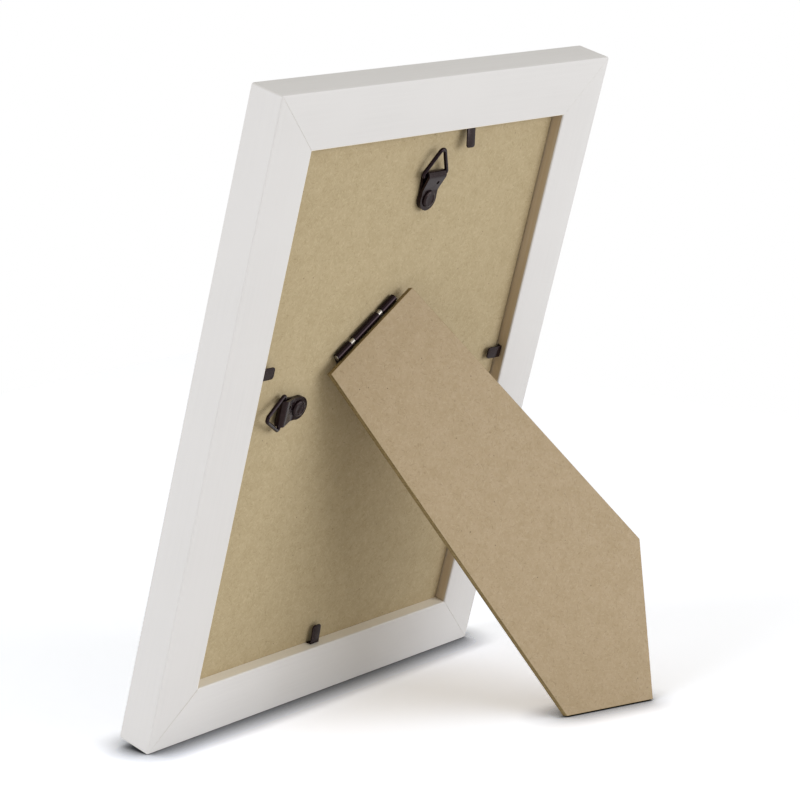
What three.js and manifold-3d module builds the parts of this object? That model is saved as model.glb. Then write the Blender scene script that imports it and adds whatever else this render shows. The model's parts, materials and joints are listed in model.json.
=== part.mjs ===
// A small picture frame for upright or sideways use: four mitred rails round glass, paper and a
// fibreboard back, which carries two wire-ring hangers and a strut on a slanted hinge.
//
// Millimetres. The pieces are laid out as the back is seen: x to the right, y up the frame and z out
// of the back, with z = 0 on the back of the rails. The frame then leans until it stands, with its
// front towards -Y and +Z up, on its lower back edge and the foot of its strut. Left and right are
// as seen from behind.
import * as THREE from 'three';
import { mergeVertices } from 'three/addons/utils/BufferGeometryUtils.js';
import Module from 'manifold-3d';

const wasm = await Module();
wasm.setup();

// Standing pose
const LEAN = 15.15;                 // degrees that the upright frame leans back
const SIDE_LEAN = 11.2;             // degrees that it leans back when it stands on its right side
const OPEN_ANGLE = 33.2;            // degrees between the open strut and the board
const HINGE_SLANT = 37.1;           // degrees of the hinge line above the horizontal

// Gaps between pieces
const SEAT_GAP = 0.3;               // between two pieces that rest on each other
const PICTURE_PLAY = 0.5;           // between the edge of the board and the wall of the rebate
const FIT_GAP = 0.3;                // round a pin, rivet, nail or wire in its hole
const MITRE_GAP = 0.3;              // across each mitre

// Rails
const PICTURE_WIDTH = 148;
const PICTURE_HEIGHT = 210;
const RAIL_WIDTH = 21.9;            // outer face to the wall of the rebate
const LIP_WIDTH = 5;                // cover of the front lip over the glass
const LIP_THICKNESS = 3.5;
const ARRIS = 0.5;                  // bevel along the long edges of a rail

// Stack in the rebate, from the front
const GLASS_THICKNESS = 2;
const SHEET_THICKNESS = 0.3;
const BOARD_THICKNESS = 3;
const BOARD_RECESS = 4.8;           // back of the board below the back of the rails

// V nails in the mitres
const NAIL_LEG = 6;
const NAIL_HEIGHT = 6;
const NAIL_THICKNESS = 0.5;
const NAIL_INSET = 8;               // apex from both outer faces
const NAIL_DEPTH = 1.2;             // top of the nail below the back of the rails

// Bending tabs
const TAB_WIDTH = 4.7;
const TAB_THICKNESS = 0.5;
const TAB_LENGTH = 7.6;             // fold to tip
const TAB_BURIED = 7;               // length in the rail
const TAB_POINT = 2.5;              // length of the buried point
const TAB_CORNER = 1.2;             // corner radius of the tip
const FOLD_RISE = 2.35;             // fold above the board
// Per tab: shift along its rail from the middle, in the sense that runs anticlockwise round the
// back, and degrees that the blade lifts off the plane of the board
const BOTTOM_TAB = { shift: -5.6, lift: -4 };
const RIGHT_TAB = { shift: 6, lift: -4 };
const TOP_TAB = { shift: -19.2, lift: 13 };
const LEFT_TAB = { shift: -20.1, lift: 0 };

// Hangers
const HANGER_INSET = 26.6;          // rivet from the nearest edge of the board
const TOP_HANGER_SHIFT = 3;         // rivet to the right of the middle
const SIDE_HANGER_SHIFT = 2.7;      // rivet above the middle
const HANGER_SHEET = 0.9;
const HANGER_REACH = 9.4;           // rivet to the axis of the ring
const HANGER_END_RADIUS = 4.6;
const HANGER_END_RISE = 15;         // degrees that the round end runs up each flank
const FOLD_HALF_WIDTH = 5.1;
const HANGER_DOT_RADIUS = 0.7;
const HANGER_DOT_X = 2;
const HANGER_DOT_Y = 6.6;
const FOLD_SLOPE = 20;              // degrees that the top sheet falls from the fold
const WIRE_RADIUS = 0.75;
const RING_HALF_BASE = 7.5;         // sharp corner of the ring's centre line from its middle
const RING_HEIGHT = 12;             // sharp apex above the base wire
const RING_CORNER = 1;
const RING_APEX_CORNER = 1.6;
const TOP_RING_ANGLE = 9;           // degrees off the board at rest
const SIDE_RING_ANGLE = 13;

// Hanger rivets
const RIVET_RADIUS = 1.5;
const RIVET_HEAD_RADIUS = 3.2;
const RIVET_HEAD_HEIGHT = 0.6;
const RIVET_DISH_RADIUS = 1.4;
const RIVET_DISH_DEPTH = 0.25;
const TAIL_LIP = 1;                 // upset tail wider than the shank
const TAIL_HEIGHT = 0.5;

// Hinge
const HINGE_SIDE = 17.4;            // middle of the hinge left of the middle of the board
const HINGE_RISE = 30;              // middle of the hinge above the middle of the board
const HINGE_LENGTH = 33.4;
const KNUCKLE_RADIUS = 1.5;
const PIN_RADIUS = 0.85;
const PIN_END = 0.3;                // pin standing out of the knuckles
const MIDDLE_KNUCKLE = 13.8;
const KNUCKLE_GAP = 2.2;            // bare pin between two knuckles
const LEAF_THICKNESS = 0.4;
const LEAF_LENGTH = 9;
const LEAF_RIVET_SPACING = 20;
const LEAF_RIVET_RADIUS = 1;
const LEAF_RIVET_HEAD = 1.9;
const STRUT_LEAF_GAP = 0.2;         // strut leaf below the strut
const STRUT_LEAF_DROP = 0.4;        // top of the strut leaf below the pin's axis
const PRONG_WIDTH = 1.4;
const PRONG_HEIGHT = 1.4;
const PRONG_SPACING = 12;

// Strut
const STRUT_TOP = 47.6;             // width along the hinge
const STRUT_THICKNESS = 3;
const STRUT_TAPER = 4.4;            // degrees that each side widens
const STRUT_START = 1.7;            // top edge of the strut below the pin's axis

// Fineness of curves
const SIDES = 24;                   // round a turned piece
const CURVE_STEPS = 12;
const RING_STEPS = 96;
const WIRE_SIDES = 8;
const WELD = 1e-4;                  // points closer than this are one point

const OVERSHOOT = 1;                // how far a cutting tool runs past the face it opens

// Derived sizes
const rad = THREE.MathUtils.degToRad;
const outerWidth = PICTURE_WIDTH + 2 * (PICTURE_PLAY + RAIL_WIDTH);
const outerHeight = PICTURE_HEIGHT + 2 * (PICTURE_PLAY + RAIL_WIDTH);
const faceWidth = RAIL_WIDTH + LIP_WIDTH;
const boardBack = -BOARD_RECESS;
const boardFront = boardBack - BOARD_THICKNESS;
const sheetBack = boardFront - SEAT_GAP;
const glassBack = sheetBack - SHEET_THICKNESS - SEAT_GAP;
const lipBack = glassBack - GLASS_THICKNESS - SEAT_GAP;
const depth = LIP_THICKNESS - lipBack;
const pinRise = SEAT_GAP + KNUCKLE_RADIUS;
const strutInner = STRUT_LEAF_GAP - STRUT_LEAF_DROP;
const prongPlaces = [-PRONG_SPACING, 0, PRONG_SPACING];

const white = { color: 0xdddcd9, roughness: 0.55, metalness: 0 };
const fibreboard = { color: 0xb2a480, roughness: 0.9, metalness: 0 };
const darkSteel = { color: 0x2c2528, roughness: 0.4, metalness: 0.8 };
const brightSteel = { color: 0xc8c0b0, roughness: 0.3, metalness: 1 };
const clearGlass = { color: 0xdfe8e4, roughness: 0.05, metalness: 0 };
const paper = { color: 0xf4f3ee, roughness: 0.9, metalness: 0 };

// Closed geometry to solid, and back
function solid(geometry) {
  const bare = geometry.clone();
  bare.deleteAttribute('normal');
  bare.deleteAttribute('uv');
  const merged = mergeVertices(bare, WELD);
  return new wasm.Manifold(new wasm.Mesh({
    numProp: 3,
    vertProperties: new Float32Array(merged.attributes.position.array),
    triVerts: new Uint32Array(merged.index.array),
  }));
}

function geometryOf(body) {
  const mesh = body.getMesh();
  const geometry = new THREE.BufferGeometry();
  geometry.setAttribute('position', new THREE.BufferAttribute(mesh.vertProperties, 3));
  geometry.setIndex(new THREE.BufferAttribute(mesh.triVerts, 1));
  geometry.computeVertexNormals();
  return geometry;
}

function piece(name, geometry, finish) {
  const mesh = new THREE.Mesh(geometry, new THREE.MeshStandardMaterial(finish));
  mesh.name = name;
  return mesh;
}

function box(x0, x1, y0, y1, z0, z1) {
  const geometry = new THREE.BoxGeometry(x1 - x0, y1 - y0, z1 - z0);
  return geometry.translate((x0 + x1) / 2, (y0 + y1) / 2, (z0 + z1) / 2);
}

function plate(shape, z0, z1) {
  const geometry = new THREE.ExtrudeGeometry(shape, {
    depth: z1 - z0, bevelEnabled: false, curveSegments: CURVE_STEPS,
  });
  return geometry.translate(0, 0, z0);
}

function outline(points) {
  return new THREE.Shape(points.map(([x, y]) => new THREE.Vector2(x, y)));
}

// Extrudes a section drawn in y and z along x, from x0 to x1
function barAlongX(section, x0, x1) {
  const geometry = new THREE.ExtrudeGeometry(section, {
    depth: x1 - x0, bevelEnabled: false, curveSegments: CURVE_STEPS,
  });
  const turn = new THREE.Matrix4().makeBasis(
    new THREE.Vector3(0, 1, 0), new THREE.Vector3(0, 0, 1), new THREE.Vector3(1, 0, 0));
  return geometry.applyMatrix4(turn).translate(x0, 0, 0);
}

function rodAlongX(radius, x0, x1) {
  const geometry = new THREE.CylinderGeometry(radius, radius, x1 - x0, SIDES);
  return geometry.rotateZ(Math.PI / 2).translate((x0 + x1) / 2, 0, 0);
}

function rodAlongZ(radius, x, y, z0, z1, topRadius = radius) {
  const geometry = new THREE.CylinderGeometry(topRadius, radius, z1 - z0, SIDES);
  return geometry.rotateX(Math.PI / 2).translate(x, y, (z0 + z1) / 2);
}

// Turned about z from [radius, z] points that start and end on the axis, from the bottom up
function turned(profile) {
  const points = profile.map(([r, z]) => new THREE.Vector2(r, z));
  return new THREE.LatheGeometry(points, SIDES).rotateX(Math.PI / 2);
}

// V nail in plan: two square legs along the rails, grown by a clearance
function nailPlan(grow) {
  const near = NAIL_INSET - grow;
  const inner = NAIL_INSET + NAIL_THICKNESS + grow;
  const far = NAIL_INSET + NAIL_LEG + grow;
  return outline([[near, near], [far, near], [far, inner], [inner, inner], [inner, far], [near, far]]);
}

const nailTop = -NAIL_DEPTH;
const nailBottom = nailTop - NAIL_HEIGHT;
const tabLow = boardBack + SEAT_GAP;

// One rail along x, with its outer face on y = 0 and the rebate towards +y
function railGeometry(length, tabAt) {
  const section = outline([
    [ARRIS, -depth], [faceWidth - ARRIS, -depth], [faceWidth, ARRIS - depth], [faceWidth, lipBack],
    [RAIL_WIDTH, lipBack], [RAIL_WIDTH, -ARRIS], [RAIL_WIDTH - ARRIS, 0], [ARRIS, 0], [0, -ARRIS],
    [0, ARRIS - depth],
  ]);
  const near = MITRE_GAP / Math.SQRT2;
  const far = near + faceWidth;
  const plan = outline([[near, 0], [length - near, 0], [length - far, faceWidth], [far, faceWidth]]);
  let rail = solid(barAlongX(section, 0, length)).intersect(solid(plate(plan, -depth, 0)));
  const pocket = plate(nailPlan(FIT_GAP), nailBottom - FIT_GAP, nailTop + FIT_GAP);
  const farPocket = pocket.clone().rotateZ(Math.PI / 2).translate(length, 0, 0);
  const half = TAB_WIDTH / 2 + FIT_GAP;
  const slot = box(tabAt - half, tabAt + half, RAIL_WIDTH - TAB_BURIED - FIT_GAP,
    RAIL_WIDTH + OVERSHOOT,
    tabLow - FIT_GAP, tabLow + TAB_THICKNESS + FIT_GAP);
  rail = rail.subtract(solid(pocket)).subtract(solid(farPocket)).subtract(solid(slot));
  return geometryOf(rail);
}

// The fixed end of a tab: a pointed strip in the rail, turned up along the wall of the rebate
function tabRootGeometry() {
  const half = TAB_WIDTH / 2;
  const end = RAIL_WIDTH - TAB_BURIED;
  const inner = RAIL_WIDTH + SEAT_GAP + TAB_THICKNESS;
  const strip = outline([
    [0, end], [half, end + TAB_POINT], [half, inner], [-half, inner], [-half, end + TAB_POINT],
  ]);
  const top = boardBack + FOLD_RISE - TAB_THICKNESS / 2 - SEAT_GAP;
  const foot = box(-half, half, inner - TAB_THICKNESS, inner, tabLow, top);
  return geometryOf(solid(plate(strip, tabLow, tabLow + TAB_THICKNESS)).add(solid(foot)));
}

// The free end of a tab, from its fold at y = 0 to its rounded tip
function tabBladeGeometry() {
  const half = TAB_WIDTH / 2;
  const straight = TAB_LENGTH - TAB_CORNER;
  const shape = new THREE.Shape();
  shape.moveTo(-half, 0);
  shape.lineTo(half, 0);
  shape.lineTo(half, straight);
  shape.absarc(half - TAB_CORNER, straight, TAB_CORNER, 0, Math.PI / 2, false);
  shape.absarc(TAB_CORNER - half, straight, TAB_CORNER, Math.PI / 2, Math.PI, false);
  shape.closePath();
  const blade = plate(shape, -TAB_THICKNESS / 2, TAB_THICKNESS / 2);
  return geometryOf(solid(blade).add(solid(rodAlongX(TAB_THICKNESS / 2, -half, half))));
}

// A rail with its tab and the nail of the corner at its start
function side(name, length, tab) {
  const group = new THREE.Group();
  const tabAt = length / 2 + tab.shift;
  const root = piece(`${name}_tab_root`, tabRootGeometry(), darkSteel);
  root.position.x = tabAt;
  const blade = piece(`${name}_tab_blade`, tabBladeGeometry(), darkSteel);
  blade.position.set(tabAt, RAIL_WIDTH + SEAT_GAP + TAB_THICKNESS / 2, boardBack + FOLD_RISE);
  blade.rotation.x = rad(tab.lift);
  const rail = piece(`${name}_rail`, railGeometry(length, tabAt), white);
  const nail = piece(`${name}_corner_nail`, plate(nailPlan(0), nailBottom, nailTop), darkSteel);
  group.add(rail, root, blade, nail);
  return group;
}

// A flat layer of the stack, as large as the picture
function layer(z0, z1) {
  const low = RAIL_WIDTH + PICTURE_PLAY;
  return box(-PICTURE_WIDTH / 2, PICTURE_WIDTH / 2, low, low + PICTURE_HEIGHT, z0, z1);
}

// Places of the fittings on the board
const middle = outerHeight / 2;
const topHangerAt = new THREE.Vector2(TOP_HANGER_SHIFT, middle + PICTURE_HEIGHT / 2 - HANGER_INSET);
const sideHangerAt = new THREE.Vector2(HANGER_INSET - PICTURE_WIDTH / 2, middle + SIDE_HANGER_SHIFT);
const slant = rad(HINGE_SLANT);
const hingeAt = new THREE.Vector2(-HINGE_SIDE, middle + HINGE_RISE);
const leafRivetY = -(KNUCKLE_RADIUS + LEAF_LENGTH) / 2;

function leafRivetAt(end) {
  const place = new THREE.Vector2(end * LEAF_RIVET_SPACING / 2, leafRivetY);
  return place.rotateAround(new THREE.Vector2(), slant).add(hingeAt);
}

function boardGeometry() {
  let board = solid(layer(boardFront, boardBack));
  const holes = [
    [topHangerAt, RIVET_RADIUS], [sideHangerAt, RIVET_RADIUS],
    [leafRivetAt(-1), LEAF_RIVET_RADIUS], [leafRivetAt(1), LEAF_RIVET_RADIUS],
  ];
  for (const [at, radius] of holes) {
    const low = boardFront - OVERSHOOT;
    const hole = rodAlongZ(radius + FIT_GAP, at.x, at.y, low, boardBack + OVERSHOOT);
    const pocketTop = boardFront + FIT_GAP + TAIL_HEIGHT + FIT_GAP;
    const pocket = rodAlongZ(radius + TAIL_LIP + FIT_GAP, at.x, at.y, low, pocketTop);
    board = board.subtract(solid(hole)).subtract(solid(pocket));
  }
  return geometryOf(board);
}

// Shank and upset tail of a rivet, below the board's back at z = 0, as the start of its profile
function rivetTail(radius) {
  const low = -BOARD_THICKNESS + FIT_GAP;
  return [
    [0, low], [radius + TAIL_LIP, low], [radius + TAIL_LIP, low + TAIL_HEIGHT],
    [radius, low + TAIL_HEIGHT],
  ];
}

const clampHeight = SEAT_GAP + 2 * HANGER_SHEET;
const foldRadius = WIRE_RADIUS + FIT_GAP + HANGER_SHEET;
const ringRise = SEAT_GAP + foldRadius;

// Folded hanger plate, with z = 0 on the board, y = 0 at the rivet and the ring towards +y
function hangerPlateGeometry() {
  const slope = rad(FOLD_SLOPE);
  const start = Math.PI / 2 + slope;
  const topY = HANGER_REACH + foldRadius * Math.cos(start);
  const topZ = ringRise + foldRadius * Math.sin(start);
  const footY = topY - (topZ - clampHeight) / Math.tan(slope);
  const section = new THREE.Shape();
  section.moveTo(-HANGER_END_RADIUS, SEAT_GAP);
  section.lineTo(HANGER_REACH, SEAT_GAP);
  section.absarc(HANGER_REACH, ringRise, foldRadius, -Math.PI / 2, start, false);
  section.lineTo(footY, clampHeight);
  section.lineTo(-HANGER_END_RADIUS, clampHeight);
  section.closePath();
  const gapFloor = SEAT_GAP + HANGER_SHEET;
  const boreRadius = WIRE_RADIUS + FIT_GAP;
  const boreY = HANGER_REACH + boreRadius * Math.cos(start);
  const boreZ = ringRise + boreRadius * Math.sin(start);
  const wedge = outline([
    [boreY - (boreZ - gapFloor) / Math.tan(slope), gapFloor], [HANGER_REACH, gapFloor],
    [HANGER_REACH, ringRise], [boreY, boreZ],
  ]);
  const rise = rad(HANGER_END_RISE);
  const x = HANGER_END_RADIUS * Math.cos(rise);
  const y = HANGER_END_RADIUS * Math.sin(rise);
  const plan = new THREE.Shape();
  plan.moveTo(FOLD_HALF_WIDTH, HANGER_REACH + foldRadius);
  plan.lineTo(-FOLD_HALF_WIDTH, HANGER_REACH + foldRadius);
  plan.lineTo(-FOLD_HALF_WIDTH, HANGER_REACH);
  plan.quadraticCurveTo(-x, HANGER_REACH / 2, -x, y);
  plan.absarc(0, 0, HANGER_END_RADIUS, Math.PI - rise, 2 * Math.PI + rise, false);
  plan.quadraticCurveTo(x, HANGER_REACH / 2, FOLD_HALF_WIDTH, HANGER_REACH);
  plan.closePath();
  const past = FOLD_HALF_WIDTH + OVERSHOOT;
  const bore = rodAlongX(boreRadius, -past, past).translate(0, HANGER_REACH, ringRise);
  const top = ringRise + foldRadius;
  const body = solid(barAlongX(section, -FOLD_HALF_WIDTH, FOLD_HALF_WIDTH))
    .intersect(solid(plate(plan, 0, top)))
    .subtract(solid(bore))
    .subtract(solid(barAlongX(wedge, -past, past)))
    .subtract(solid(rodAlongZ(RIVET_RADIUS + FIT_GAP, 0, 0, 0, top)))
    .subtract(solid(rodAlongZ(HANGER_DOT_RADIUS, HANGER_DOT_X, HANGER_DOT_Y, 0, top)));
  return geometryOf(body);
}

function hangerRivetGeometry() {
  const under = clampHeight + SEAT_GAP;
  const top = under + RIVET_HEAD_HEIGHT;
  const bevel = RIVET_HEAD_HEIGHT / 2;
  return turned([
    ...rivetTail(RIVET_RADIUS), [RIVET_RADIUS, under], [RIVET_HEAD_RADIUS, under],
    [RIVET_HEAD_RADIUS, top - bevel], [RIVET_HEAD_RADIUS - bevel, top],
    [RIVET_DISH_RADIUS + RIVET_DISH_DEPTH, top], [RIVET_DISH_RADIUS, top - RIVET_DISH_DEPTH],
    [0, top - RIVET_DISH_DEPTH],
  ]);
}

// Closed centre line of a ring: a triangle with round corners, its base wire on y = 0
class RingLine extends THREE.Curve {
  constructor() {
    super();
    const base = Math.atan2(RING_HEIGHT, RING_HALF_BASE);
    const cut = RING_CORNER / Math.tan(base / 2);
    const apexY = RING_HEIGHT - RING_APEX_CORNER / Math.cos(base);
    this.path = new THREE.Path();
    this.path.moveTo(0, 0);
    this.path.lineTo(RING_HALF_BASE - cut, 0);
    this.path.absarc(RING_HALF_BASE - cut, RING_CORNER, RING_CORNER, -Math.PI / 2, Math.PI / 2 - base);
    this.path.absarc(0, apexY, RING_APEX_CORNER, Math.PI / 2 - base, Math.PI / 2 + base);
    this.path.absarc(cut - RING_HALF_BASE, RING_CORNER, RING_CORNER, Math.PI / 2 + base, 1.5 * Math.PI);
    this.path.lineTo(0, 0);
  }

  getPoint(t, target = new THREE.Vector3()) {
    const point = this.path.getPointAt(t);
    return target.set(point.x, point.y, 0);
  }
}

function ringGeometry() {
  return new THREE.TubeGeometry(new RingLine(), RING_STEPS, WIRE_RADIUS, WIRE_SIDES, true);
}

// A hanger with its rivet at the origin of its group and its ring towards +y
function hanger(name, ringAngle) {
  const group = new THREE.Group();
  const ring = piece(`${name}_hanger_ring`, geometryOf(solid(ringGeometry())), darkSteel);
  ring.position.set(0, HANGER_REACH, ringRise);
  ring.rotation.x = rad(ringAngle);
  group.add(
    piece(`${name}_hanger_plate`, hangerPlateGeometry(), darkSteel),
    piece(`${name}_hanger_rivet`, hangerRivetGeometry(), darkSteel),
    ring,
  );
  return group;
}

const hingeHalf = HINGE_LENGTH / 2;
const middleHalf = MIDDLE_KNUCKLE / 2;
const leafStart = KNUCKLE_RADIUS + FIT_GAP;
const bore = PIN_RADIUS + FIT_GAP;

// Leaf under the pin's axis: its flat ends at the barrel's foot only where it has a knuckle
function leafSolid(knuckles, top) {
  let leaf = solid(box(-hingeHalf, hingeHalf, -LEAF_LENGTH, -leafStart, top - LEAF_THICKNESS, top));
  for (const [x0, x1] of knuckles) {
    leaf = leaf
      .add(solid(box(x0, x1, -leafStart - OVERSHOOT, 0, top - LEAF_THICKNESS, top)))
      .add(solid(rodAlongX(KNUCKLE_RADIUS, x0, x1)));
  }
  return leaf.subtract(solid(rodAlongX(bore, -HINGE_LENGTH, HINGE_LENGTH)));
}

function boardLeafGeometry() {
  const outer = middleHalf + KNUCKLE_GAP;
  const top = LEAF_THICKNESS - KNUCKLE_RADIUS;
  let leaf = leafSolid([[-hingeHalf, -outer], [outer, hingeHalf]], top);
  for (const end of [-1, 1]) {
    const hole = rodAlongZ(LEAF_RIVET_RADIUS + FIT_GAP, end * LEAF_RIVET_SPACING / 2, leafRivetY,
      top - LEAF_THICKNESS - SEAT_GAP, top, LEAF_RIVET_HEAD + FIT_GAP);
    leaf = leaf.subtract(solid(hole));
  }
  return geometryOf(leaf);
}

function strutLeafGeometry() {
  const top = -STRUT_LEAF_DROP;
  let leaf = leafSolid([[-middleHalf, middleHalf]], top);
  for (const x of prongPlaces) {
    const prong = box(x - PRONG_WIDTH / 2, x + PRONG_WIDTH / 2, -LEAF_LENGTH,
      LEAF_THICKNESS - LEAF_LENGTH, top - LEAF_THICKNESS, strutInner + PRONG_HEIGHT);
    leaf = leaf.add(solid(prong));
  }
  return geometryOf(leaf);
}

function leafRivetGeometry() {
  const top = SEAT_GAP + LEAF_THICKNESS;
  return turned([
    ...rivetTail(LEAF_RIVET_RADIUS), [LEAF_RIVET_RADIUS, 0], [LEAF_RIVET_HEAD, top], [0, top],
  ]);
}

// Line on which the strut's inner face meets a floor, as [a, b, c] with a x + b y + c = 0 there
function floorLine(strut, floor) {
  const height = (x, y) => floor(new THREE.Vector3(x, y, strutInner).applyMatrix4(strut.matrixWorld));
  const c = height(0, 0);
  return [height(1, 0) - c, height(0, 1) - c, c];
}

function meet([a, b, c], [d, e, f]) {
  const scale = a * e - b * d;
  return [(b * f - c * e) / scale, (c * d - a * f) / scale];
}

// Strut below the pin's axis. Its foot is cut to stand on the floor upright and on the right side.
function strutGeometry(strut) {
  const lean = rad(LEAN);
  const sideLean = rad(SIDE_LEAN);
  const upright = floorLine(strut, (p) => p.y * Math.cos(lean) - (p.z + ARRIS) * Math.sin(lean));
  const sideways = floorLine(strut, (p) =>
    (outerWidth / 2 - p.x) * Math.cos(sideLean) - (p.z + ARRIS) * Math.sin(sideLean));
  const widen = Math.tan(rad(STRUT_TAPER));
  const half = STRUT_TOP / 2;
  const leftSide = [1, -widen, half - widen * STRUT_START];
  const rightSide = [1, widen, widen * STRUT_START - half];
  const corners = [
    [-half, -STRUT_START], meet(leftSide, upright), meet(upright, sideways),
    meet(rightSide, sideways), [half, -STRUT_START],
  ];
  let body = solid(plate(outline(corners), strutInner, strutInner + STRUT_THICKNESS));
  for (const x of prongPlaces) {
    const reach = PRONG_WIDTH / 2 + FIT_GAP;
    const pocket = box(x - reach, x + reach, -LEAF_LENGTH - FIT_GAP,
      LEAF_THICKNESS - LEAF_LENGTH + FIT_GAP, strutInner - OVERSHOOT,
      strutInner + PRONG_HEIGHT + FIT_GAP);
    body = body.subtract(solid(pocket));
  }
  return geometryOf(body);
}

// The four sides, each with its own tab
const laid = new THREE.Group();
const bottom = side('bottom', outerWidth, BOTTOM_TAB);
bottom.position.set(-outerWidth / 2, 0, 0);
const right = side('right', outerHeight, RIGHT_TAB);
right.position.set(outerWidth / 2, 0, 0);
right.rotation.z = Math.PI / 2;
const top = side('top', outerWidth, TOP_TAB);
top.position.set(outerWidth / 2, outerHeight, 0);
top.rotation.z = Math.PI;
const left = side('left', outerHeight, LEFT_TAB);
left.position.set(-outerWidth / 2, outerHeight, 0);
left.rotation.z = -Math.PI / 2;
laid.add(bottom, right, top, left);

// The stack in the rebate
laid.add(
  piece('glass_pane', layer(glassBack - GLASS_THICKNESS, glassBack), clearGlass),
  piece('insert_sheet', layer(sheetBack - SHEET_THICKNESS, sheetBack), paper),
  piece('backing_board', boardGeometry(), fibreboard),
);

// The hangers
const topHanger = hanger('top', TOP_RING_ANGLE);
topHanger.position.set(topHangerAt.x, topHangerAt.y, boardBack);
const sideHanger = hanger('side', SIDE_RING_ANGLE);
sideHanger.position.set(sideHangerAt.x, sideHangerAt.y, boardBack);
sideHanger.rotation.z = Math.PI / 2;
laid.add(topHanger, sideHanger);

// The hinge, with x along its pin and y away from the strut, and the strut turned out about the pin
const hinge = new THREE.Group();
hinge.position.set(hingeAt.x, hingeAt.y, boardBack + pinRise);
hinge.rotation.z = slant;
const pinEnd = hingeHalf + PIN_END;
hinge.add(
  piece('hinge_board_leaf', boardLeafGeometry(), darkSteel),
  piece('hinge_pin', rodAlongX(PIN_RADIUS, -pinEnd, pinEnd), brightSteel),
);
const swing = new THREE.Group();
swing.rotation.x = -rad(OPEN_ANGLE);
hinge.add(swing);
laid.add(hinge);
laid.updateMatrixWorld(true);
swing.add(
  piece('strut', strutGeometry(swing), fibreboard),
  piece('hinge_strut_leaf', strutLeafGeometry(), darkSteel),
);
for (const [name, end] of [['lower', -1], ['upper', 1]]) {
  const rivet = piece(`hinge_rivet_${name}`, leafRivetGeometry(), darkSteel);
  const at = leafRivetAt(end);
  rivet.position.set(at.x, at.y, boardBack);
  laid.add(rivet);
}

// Lean the frame back on its lower edge, front towards -Y, and centre it on its own base
laid.rotation.x = Math.PI / 2 + rad(LEAN);
const facing = new THREE.Group();
facing.rotation.z = Math.PI;
facing.add(laid);
const pictureFrame = new THREE.Group();
pictureFrame.add(facing);
pictureFrame.updateMatrixWorld(true);
const reach = new THREE.Box3().setFromObject(pictureFrame, true);
facing.position.set(-(reach.min.x + reach.max.x) / 2, -(reach.min.y + reach.max.y) / 2, -reach.min.z);

export default pictureFrame;
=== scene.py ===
"""A small white picture frame for A5 pictures, standing on its strut and seen from behind.

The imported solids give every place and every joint. This script dresses them: painted wooden rails,
raw hardboard, blackened steel fittings, glass and paper, in a plain white studio.

Sizes are in millimetres unless a name says otherwise. Pieces are drawn the way the back is seen: x
to the right, y up the frame and z out of the back. Left and right are as seen from behind.
"""
import json
import logging
import math
from dataclasses import dataclass
from enum import Enum

import bmesh
import bpy
import numpy as np
from mathutils import Matrix, Vector


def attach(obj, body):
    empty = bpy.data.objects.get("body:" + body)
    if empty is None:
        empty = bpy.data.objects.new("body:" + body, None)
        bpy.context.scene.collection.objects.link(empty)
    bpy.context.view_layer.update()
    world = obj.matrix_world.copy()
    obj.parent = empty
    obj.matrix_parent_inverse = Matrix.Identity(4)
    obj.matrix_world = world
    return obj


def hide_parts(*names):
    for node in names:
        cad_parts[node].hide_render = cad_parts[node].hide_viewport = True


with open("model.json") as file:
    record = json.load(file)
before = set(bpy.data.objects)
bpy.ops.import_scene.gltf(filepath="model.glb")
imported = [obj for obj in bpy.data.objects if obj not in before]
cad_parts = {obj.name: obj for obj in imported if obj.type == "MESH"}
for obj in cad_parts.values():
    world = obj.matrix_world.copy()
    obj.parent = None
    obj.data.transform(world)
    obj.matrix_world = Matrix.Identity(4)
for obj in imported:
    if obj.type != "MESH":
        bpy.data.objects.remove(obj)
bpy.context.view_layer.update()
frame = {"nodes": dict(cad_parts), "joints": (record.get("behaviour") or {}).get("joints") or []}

MM = 0.001
WELD = 1e-7                     # metres within which two points are one
CREASE = 30.0                   # degrees past which an edge stays sharp
FLAT = 1.0                      # degrees within which two faces are one
EDGE_STEPS = 2                  # faces across a rounded edge
CORNER_STEPS = 3                # faces round the corner of a strip's section
READ_DIGITS = 3                 # decimals to which corners are read
READ_DEPTH = 0.01               # how far below a face its corners may lie
OPEN_ANGLE = 33.2               # degrees between the strut and the board
log = logging.getLogger("picture_frame")

Piece = bpy.types.Object
Material = bpy.types.Material
Tree = bpy.types.NodeTree
Shader = bpy.types.NodeSocket
Pair = tuple[float, float]
Triple = tuple[float, float, float]
NO_TURN: Triple = (0.0, 0.0, 0.0)
MOST: Pair = (0.3, 0.7)         # nearly all values of a noise lie between these
CORE: Pair = (0.35, 0.65)       # the greater part of them lies between these


class Axis(Enum):
    """The axes of a drawing."""

    X = "X"
    Y = "Y"
    Z = "Z"


class Named(Enum):
    """Options whose words are parts of names."""

    @property
    def word(self) -> str:
        """Gives the option's word."""
        return self.name.lower()


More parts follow.
